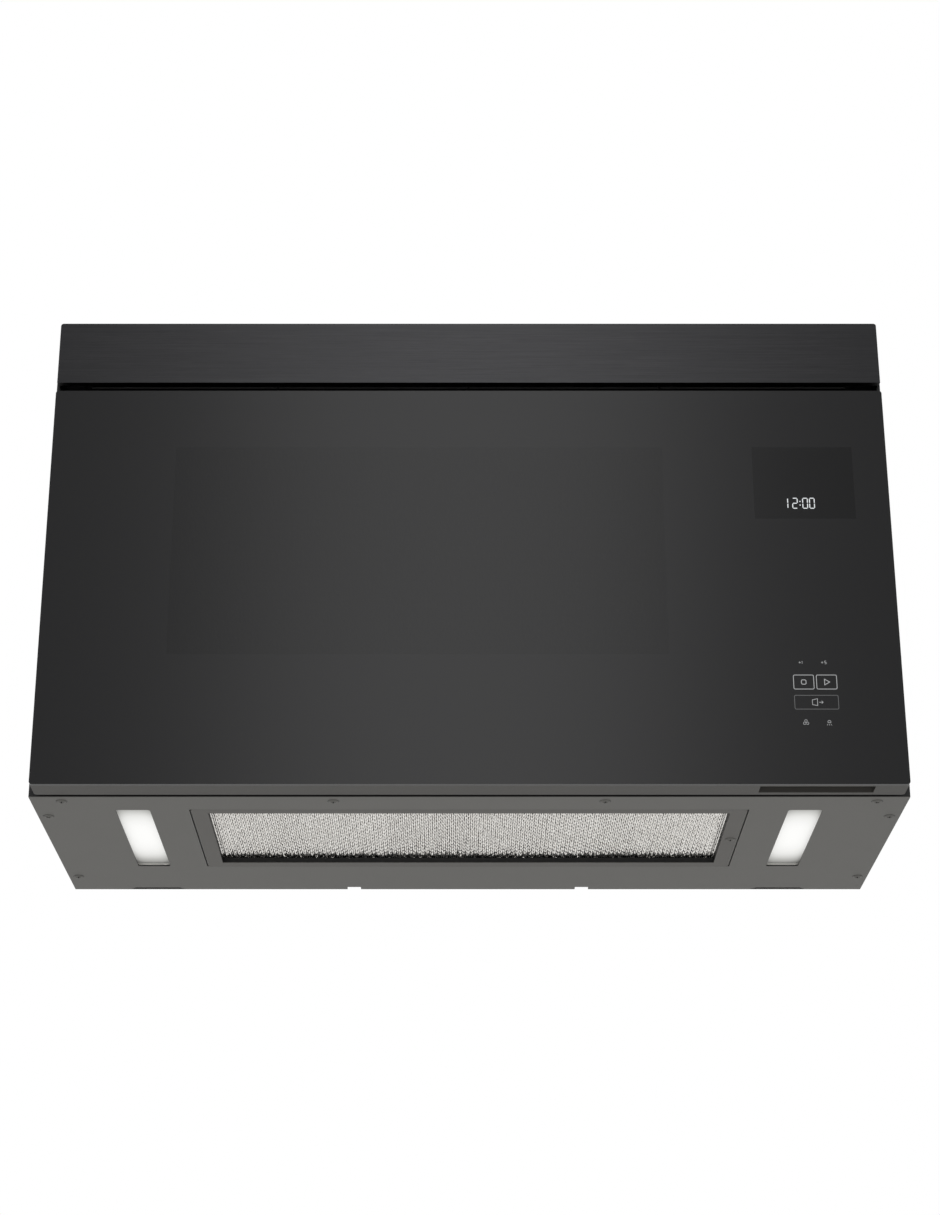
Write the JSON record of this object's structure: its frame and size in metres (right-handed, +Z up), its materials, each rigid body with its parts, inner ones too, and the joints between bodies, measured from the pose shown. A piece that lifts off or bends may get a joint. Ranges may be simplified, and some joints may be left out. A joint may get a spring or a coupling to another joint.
{
  "type": "over the range microwave",
  "caption": "Wall-hung microwave oven over a cooktop, with a full-width black glass door, a brushed trim with a vent slot, and a hood underside with a mesh grease filter and lamps.",
  "frame": {"origin": "on the wall plane, at the underside, in the middle of the width: the place where the rear flange meets the wall", "axes": "+X to the right seen from the front, +Y back into the wall, +Z up; the door faces -Y"},
  "size_m": [0.7588, 0.3365, 0.4676],
  "materials": {
    "black_paint": "satin black baked paint",
    "grey_paint": "satin dark grey baked paint",
    "filter_paint": "satin dark grey baked paint",
    "zinc_steel": "zinc-coated sheet",
    "zinc_screw": "zinc-plated",
    "hinge_steel": "black-coated steel",
    "black_stainless": "horizontally brushed, black-coated",
    "black_plastic": "moulded, fine grain",
    "door_plastic": "moulded, fine grain",
    "white_plastic": "moulded",
    "oven_enamel": "light grey enamel",
    "white_ceramic": "glazed glass-ceramic",
    "core_steel": "varnished laminations",
    "aluminium": "drawn",
    "aluminium_mesh": "layers of expanded foil",
    "circuit_board": "solder mask",
    "charcoal": "granules in a black case",
    "black_glass": "tinted tempered glass, printed on its back",
    "inner_glass": "clear tempered glass",
    "light_lens": "frosted"
  },
  "bodies": {
    "case": {"outer_case": "black_paint", "base_rails": "black_paint", "base_plate": "grey_paint", "back_panel": "zinc_steel", "face_frame": "black_paint", "front_trim": "black_stainless", "vent_grille": "black_plastic", "oven_cavity": "oven_enamel", "floor_ledge": "oven_enamel", "ceramic_floor": "white_ceramic", "waveguide": "zinc_steel", "magnetron": "zinc_steel", "antenna_motor": "zinc_steel", "component_shelf": "zinc_steel", "power_transformer": "core_steel", "power_capacitor": "aluminium", "board_tray": "white_plastic", "power_board": "circuit_board", "fan_shroud": "black_plastic", "fan_motor": "zinc_steel", "blower_housing": "zinc_steel", "blower_motor": "core_steel", "charcoal_filter": "charcoal", "exhaust_collar": "zinc_steel", "cord_bushing": "black_plastic", "bolt_plates": "zinc_steel", "filter_frame": "filter_paint", "grease_filter": "aluminium_mesh", "filter_plenum": "zinc_steel", "filter_screw": "zinc_screw", "base_screws": "zinc_screw", "left_light_housing": "white_plastic", "left_light_lens": "light_lens", "left_light_board": "circuit_board", "right_light_housing": "white_plastic", "right_light_lens": "light_lens", "right_light_board": "circuit_board", "upper_hinge": "hinge_steel", "lower_hinge": "hinge_steel", "latch_bracket": "white_plastic", "door_switches": "black_plastic", "release_motor": "black_plastic", "oven_lamp": "white_plastic"},
    "door": {"door_glass": "black_glass", "door_frame": "door_plastic", "door_cover": "black_plastic", "inner_door": "black_paint", "choke_cover": "black_plastic", "inner_glass": "inner_glass", "display_module": "black_plastic", "touch_board": "circuit_board", "latch_spring": "zinc_screw"},
    "latch": {"latch_hooks": "white_plastic"},
    "release": {"release_lever": "white_plastic"},
    "blower": {"blower_shaft": "zinc_screw", "blower_wheel_left": "zinc_steel", "blower_wheel_right": "zinc_steel"},
    "fan_rotor": {"cooling_fan": "black_plastic"},
    "antenna": {"rotating_antenna": "aluminium"},
    "damper": {"exhaust_damper": "zinc_steel"}
  },
  "joints": [
    {"name": "door_swing", "type": "hinge", "parent": "case", "child": "door", "pos_m": [-0.36465, -0.312, 0.18], "axis": [0, 0, -1], "range_deg": [0, 95]},
    {"name": "latch_slide", "type": "slide", "parent": "door", "child": "latch", "axis": [0, 0, 1], "range_m": [-0.0025, 0], "stiffness_N_per_m": 150, "springref_m": -0.006},
    {"name": "release_swing", "type": "hinge", "parent": "case", "child": "release", "pos_m": [0.237, -0.262, 0.128], "axis": [1, 0, 0], "range_deg": [0, 6]},
    {"name": "blower_spin", "type": "hinge", "parent": "case", "child": "blower", "pos_m": [0, -0.062, 0.386], "axis": [1, 0, 0], "continuous": true},
    {"name": "fan_spin", "type": "hinge", "parent": "case", "child": "fan_rotor", "pos_m": [0.256, -0.08, 0.14], "axis": [0, 1, 0], "continuous": true},
    {"name": "antenna_spin", "type": "hinge", "parent": "case", "child": "antenna", "pos_m": [-0.045, -0.165, 0.08], "axis": [0, 0, 1], "continuous": true},
    {"name": "damper_swing", "type": "hinge", "parent": "case", "child": "damper", "pos_m": [0, -0.10005, 0.453], "axis": [1, 0, 0], "range_deg": [0, 80]}
  ],
  "couplings": [
    {"joint": "release_swing", "follows": "latch_slide", "rad_per_m": -41.88}
  ]
}
